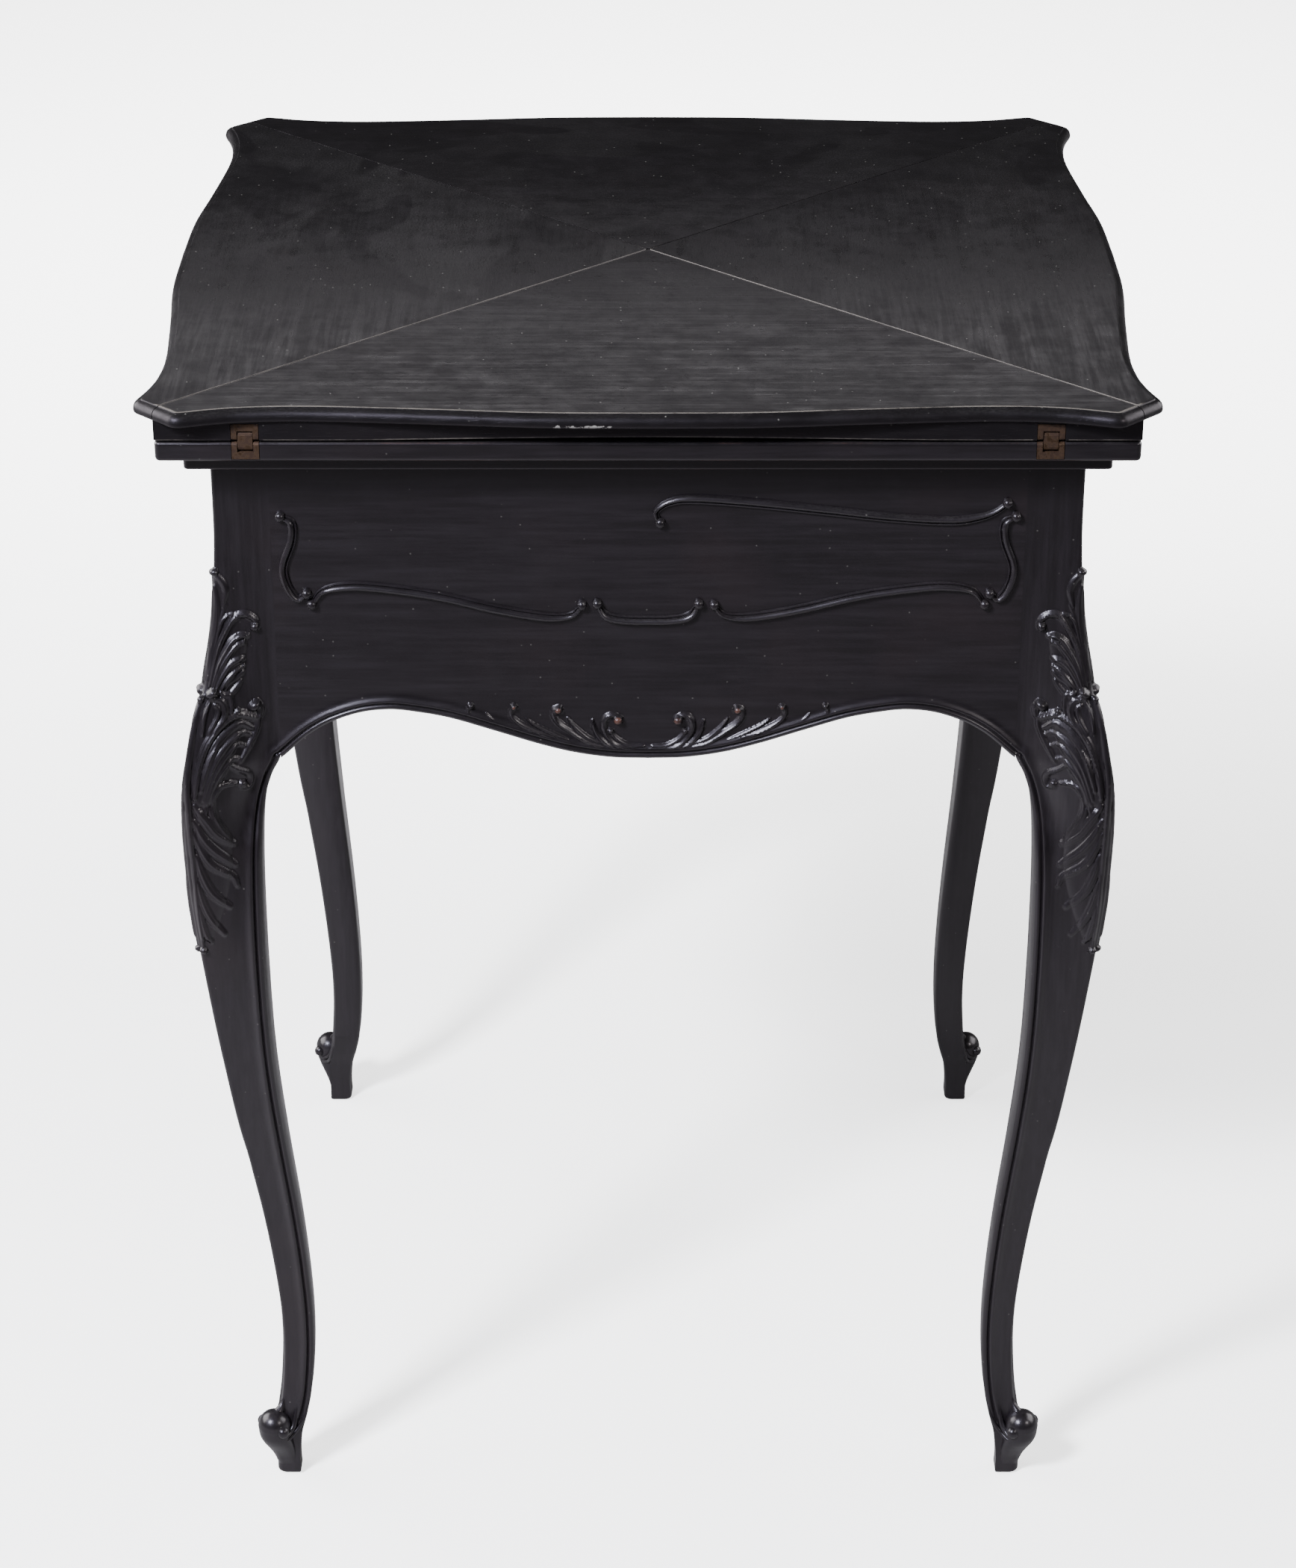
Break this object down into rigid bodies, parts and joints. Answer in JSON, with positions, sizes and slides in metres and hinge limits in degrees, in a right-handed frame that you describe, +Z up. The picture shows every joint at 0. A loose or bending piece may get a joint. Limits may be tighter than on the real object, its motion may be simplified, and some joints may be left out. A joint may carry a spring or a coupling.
{
  "type": "games table",
  "caption": "Square card table on cabriole legs, with a swivelling top whose triangular leaves fold in to the centre like an envelope.",
  "frame": {"origin": "on the floor under the centre of the table", "axes": "+Z up, -Y towards the front, whose apron has lost one scroll; +X to the right seen from the front"},
  "size_m": [0.584, 0.584, 0.76],
  "materials": {
    "ebonised_wood": "worn satin polish over black stain",
    "stained_pine": "dark stained, unpolished",
    "baize": "napped wool cloth",
    "old_brass": "tarnished brown",
    "dark_steel": "dull, dark"
  },
  "bodies": {
    "base": {"leg_back_right": "ebonised_wood", "leg_back_left": "ebonised_wood", "leg_front_left": "ebonised_wood", "leg_front_right": "ebonised_wood", "apron_front": "ebonised_wood", "apron_right": "ebonised_wood", "apron_back": "ebonised_wood", "apron_left": "ebonised_wood", "scroll_upper_right": "ebonised_wood", "scroll_lower_left": "ebonised_wood", "scroll_lower_centre": "ebonised_wood", "scroll_lower_right": "ebonised_wood", "scroll_end_left": "ebonised_wood", "scroll_end_right": "ebonised_wood", "frame_board": "stained_pine", "corner_block_back_right": "stained_pine", "corner_block_back_left": "stained_pine", "corner_block_front_left": "stained_pine", "corner_block_front_right": "stained_pine", "stop_peg": "dark_steel"},
    "swivel_top": {"bed": "ebonised_wood", "bed_baize": "baize", "sub_board": "ebonised_wood", "pivot_bolt": "dark_steel", "pivot_washer": "dark_steel", "pivot_nut": "dark_steel", "hinge_bed_plate_front_a": "old_brass", "hinge_bed_plate_front_b": "old_brass", "hinge_bed_plate_right_a": "old_brass", "hinge_bed_plate_right_b": "old_brass", "hinge_bed_plate_back_a": "old_brass", "hinge_bed_plate_back_b": "old_brass", "hinge_bed_plate_left_a": "old_brass", "hinge_bed_plate_left_b": "old_brass"},
    "front_links": {"hinge_link_front_a": "old_brass", "hinge_link_front_b": "old_brass"},
    "front_leaf": {"leaf_front": "ebonised_wood", "leaf_baize_front": "baize", "hinge_leaf_plate_front_a": "old_brass", "hinge_leaf_plate_front_b": "old_brass"},
    "right_links": {"hinge_link_right_a": "old_brass", "hinge_link_right_b": "old_brass"},
    "right_leaf": {"leaf_right": "ebonised_wood", "leaf_baize_right": "baize", "hinge_leaf_plate_right_a": "old_brass", "hinge_leaf_plate_right_b": "old_brass"},
    "back_links": {"hinge_link_back_a": "old_brass", "hinge_link_back_b": "old_brass"},
    "back_leaf": {"leaf_back": "ebonised_wood", "leaf_baize_back": "baize", "hinge_leaf_plate_back_a": "old_brass", "hinge_leaf_plate_back_b": "old_brass"},
    "left_links": {"hinge_link_left_a": "old_brass", "hinge_link_left_b": "old_brass"},
    "left_leaf": {"leaf_left": "ebonised_wood", "leaf_baize_left": "baize", "hinge_leaf_plate_left_a": "old_brass", "hinge_leaf_plate_left_b": "old_brass"}
  },
  "joints": [
    {"name": "top_swivel", "type": "hinge", "parent": "base", "child": "swivel_top", "pos_m": [0, 0, 0.7167], "axis": [0, 0, 1], "range_deg": [0, 45]},
    {"name": "front_link_turn", "type": "hinge", "parent": "swivel_top", "child": "front_links", "pos_m": [0, -0.2755, 0.736], "axis": [1, 0, 0], "range_deg": [0, 90]},
    {"name": "front_leaf_turn", "type": "hinge", "parent": "front_links", "child": "front_leaf", "pos_m": [0, -0.2755, 0.743], "axis": [1, 0, 0], "range_deg": [0, 90]},
    {"name": "right_link_turn", "type": "hinge", "parent": "swivel_top", "child": "right_links", "pos_m": [0.2755, 0, 0.736], "axis": [0, 1, 0], "range_deg": [0, 90]},
    {"name": "right_leaf_turn", "type": "hinge", "parent": "right_links", "child": "right_leaf", "pos_m": [0.2755, 0, 0.743], "axis": [0, 1, 0], "range_deg": [0, 90]},
    {"name": "back_link_turn", "type": "hinge", "parent": "swivel_top", "child": "back_links", "pos_m": [0, 0.2755, 0.736], "axis": [-1, 0, 0], "range_deg": [0, 90]},
    {"name": "back_leaf_turn", "type": "hinge", "parent": "back_links", "child": "back_leaf", "pos_m": [0, 0.2755, 0.743], "axis": [-1, 0, 0], "range_deg": [0, 90]},
    {"name": "left_link_turn", "type": "hinge", "parent": "swivel_top", "child": "left_links", "pos_m": [-0.2755, 0, 0.736], "axis": [0, -1, 0], "range_deg": [0, 90]},
    {"name": "left_leaf_turn", "type": "hinge", "parent": "left_links", "child": "left_leaf", "pos_m": [-0.2755, 0, 0.743], "axis": [0, -1, 0], "range_deg": [0, 90]}
  ],
  "couplings": [
    {"joint": "front_link_turn", "follows": "front_leaf_turn", "ratio": 1},
    {"joint": "right_link_turn", "follows": "right_leaf_turn", "ratio": 1},
    {"joint": "back_link_turn", "follows": "back_leaf_turn", "ratio": 1},
    {"joint": "left_link_turn", "follows": "left_leaf_turn", "ratio": 1}
  ]
}
